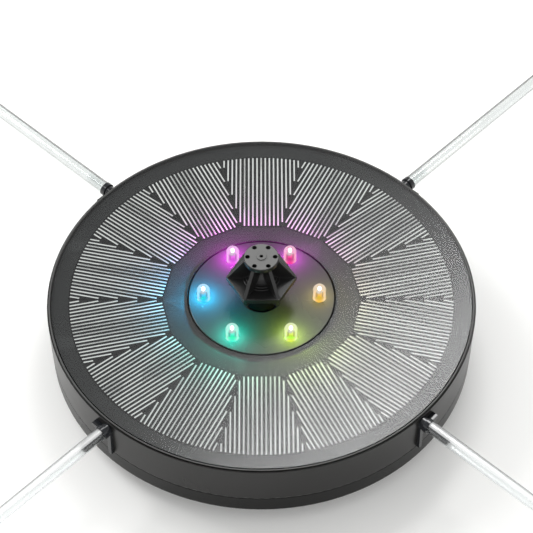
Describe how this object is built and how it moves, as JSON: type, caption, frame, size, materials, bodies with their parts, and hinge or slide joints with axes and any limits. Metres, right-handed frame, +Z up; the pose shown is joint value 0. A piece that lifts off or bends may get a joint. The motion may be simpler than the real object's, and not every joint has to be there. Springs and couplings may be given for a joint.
{
  "type": "solar floating fountain pump",
  "caption": "Round solar floating fountain: wet-rotor pump under a float, lit centre plate, finned spray head and slip-on guide rods.",
  "frame": {"origin": "the float's axis, on the surface that the filter cover stands on", "axes": "+Z up along the spray axis, +X right and -Y towards the viewer of the picture"},
  "size_m": [0.2766, 0.2766, 0.0566],
  "materials": {
    "shell_plastic": "satin",
    "base_plastic": "satin",
    "rubber": "matt",
    "screw_steel": "bright",
    "panel_pcb": "matt",
    "clear_resin": "clear satin resin",
    "silver_print": "printed silver",
    "silicon": "dark silicon",
    "plate_plastic": "satin",
    "green_pcb": "solder mask",
    "led_amber_lens": "clear lens, lit",
    "led_pink_lens": "clear lens, lit",
    "led_magenta_lens": "clear lens, lit",
    "led_blue_lens": "clear lens, lit",
    "led_green_lens": "clear lens, lit",
    "led_yellow_lens": "clear lens, lit",
    "nozzle_plastic": "gloss",
    "pump_plastic": "satin",
    "core_steel": "laminated",
    "coil_copper": "enamelled wire",
    "potting": "cast",
    "impeller_plastic": "moulded",
    "magnet": "sintered",
    "ceramic": "ground",
    "filter_plastic": "satin",
    "sponge": "open foam",
    "battery_wrap": "shrink wrap",
    "button_rubber": "matt",
    "smoky_plastic": "smoky, glossy",
    "clear_rod": "clear"
  },
  "bodies": {
    "float": {"top_shell": "shell_plastic", "bottom_shell": "base_plastic", "shell_seal": "rubber", "case_screws": "screw_steel", "panel_board": "panel_pcb", "panel_resin": "clear_resin", "cell_fingers": "silver_print", "solar_cell_1": "silicon", "solar_cell_2": "silicon", "solar_cell_3": "silicon", "solar_cell_4": "silicon", "solar_cell_5": "silicon", "solar_cell_6": "silicon", "solar_cell_7": "silicon", "solar_cell_8": "silicon", "solar_cell_9": "silicon", "solar_cell_10": "silicon", "solar_cell_11": "silicon", "solar_cell_12": "silicon", "solar_cell_13": "silicon", "solar_cell_14": "silicon", "light_plate": "plate_plastic", "led_board": "green_pcb", "led_amber": "led_amber_lens", "led_pink": "led_pink_lens", "led_magenta": "led_magenta_lens", "led_blue": "led_blue_lens", "led_green": "led_green_lens", "led_yellow": "led_yellow_lens", "outlet_pipe": "pump_plastic", "pump_housing": "pump_plastic", "stator_core": "core_steel", "stator_coil": "coil_copper", "motor_potting": "potting", "pump_shaft": "ceramic", "pump_cover": "pump_plastic", "cover_screws": "screw_steel", "battery": "battery_wrap", "battery_cradle": "pump_plastic", "control_board": "green_pcb", "rod_clip_1": "smoky_plastic", "rod_clip_2": "smoky_plastic", "rod_clip_3": "smoky_plastic", "rod_clip_4": "smoky_plastic"},
    "rotor": {"impeller": "impeller_plastic", "rotor_magnet": "magnet"},
    "nozzle_seal_ring": {"nozzle_seal": "rubber"},
    "spray_head": {"nozzle": "nozzle_plastic"},
    "filter": {"filter_cover": "filter_plastic", "filter_sponge": "sponge"},
    "button": {"mode_button": "button_rubber"},
    "rod_1": {"guide_rod_1": "clear_rod"},
    "rod_2": {"guide_rod_2": "clear_rod"},
    "rod_3": {"guide_rod_3": "clear_rod"},
    "rod_4": {"guide_rod_4": "clear_rod"}
  },
  "joints": [
    {"name": "rotor_spin", "type": "hinge", "parent": "float", "child": "rotor", "pos_m": [-0.012, -0.0075, 0.018], "axis": [0, 0, 1], "continuous": true},
    {"name": "nozzle_pull", "type": "slide", "parent": "float", "child": "nozzle_seal_ring", "axis": [0, 0, 1], "range_m": [0, 0.012]},
    {"name": "nozzle_turn", "type": "hinge", "parent": "nozzle_seal_ring", "child": "spray_head", "pos_m": [0, 0, 0.04], "axis": [0, 0, 1], "continuous": true},
    {"name": "filter_pull", "type": "slide", "parent": "float", "child": "filter", "axis": [0, 0, -1], "range_m": [0, 0.012]},
    {"name": "mode_press", "type": "slide", "parent": "float", "child": "button", "axis": [0, 0, 1], "range_m": [0, 0.0008], "stiffness_N_per_m": 1500},
    {"name": "rod_1_pull", "type": "slide", "parent": "float", "child": "rod_1", "axis": [0.6909, 0.723, 0], "range_m": [0, 0.01]},
    {"name": "rod_2_pull", "type": "slide", "parent": "float", "child": "rod_2", "axis": [-0.723, 0.6909, 0], "range_m": [0, 0.01]},
    {"name": "rod_3_pull", "type": "slide", "parent": "float", "child": "rod_3", "axis": [-0.6909, -0.723, 0], "range_m": [0, 0.01]},
    {"name": "rod_4_pull", "type": "slide", "parent": "float", "child": "rod_4", "axis": [0.723, -0.6909, 0], "range_m": [0, 0.01]}
  ]
}
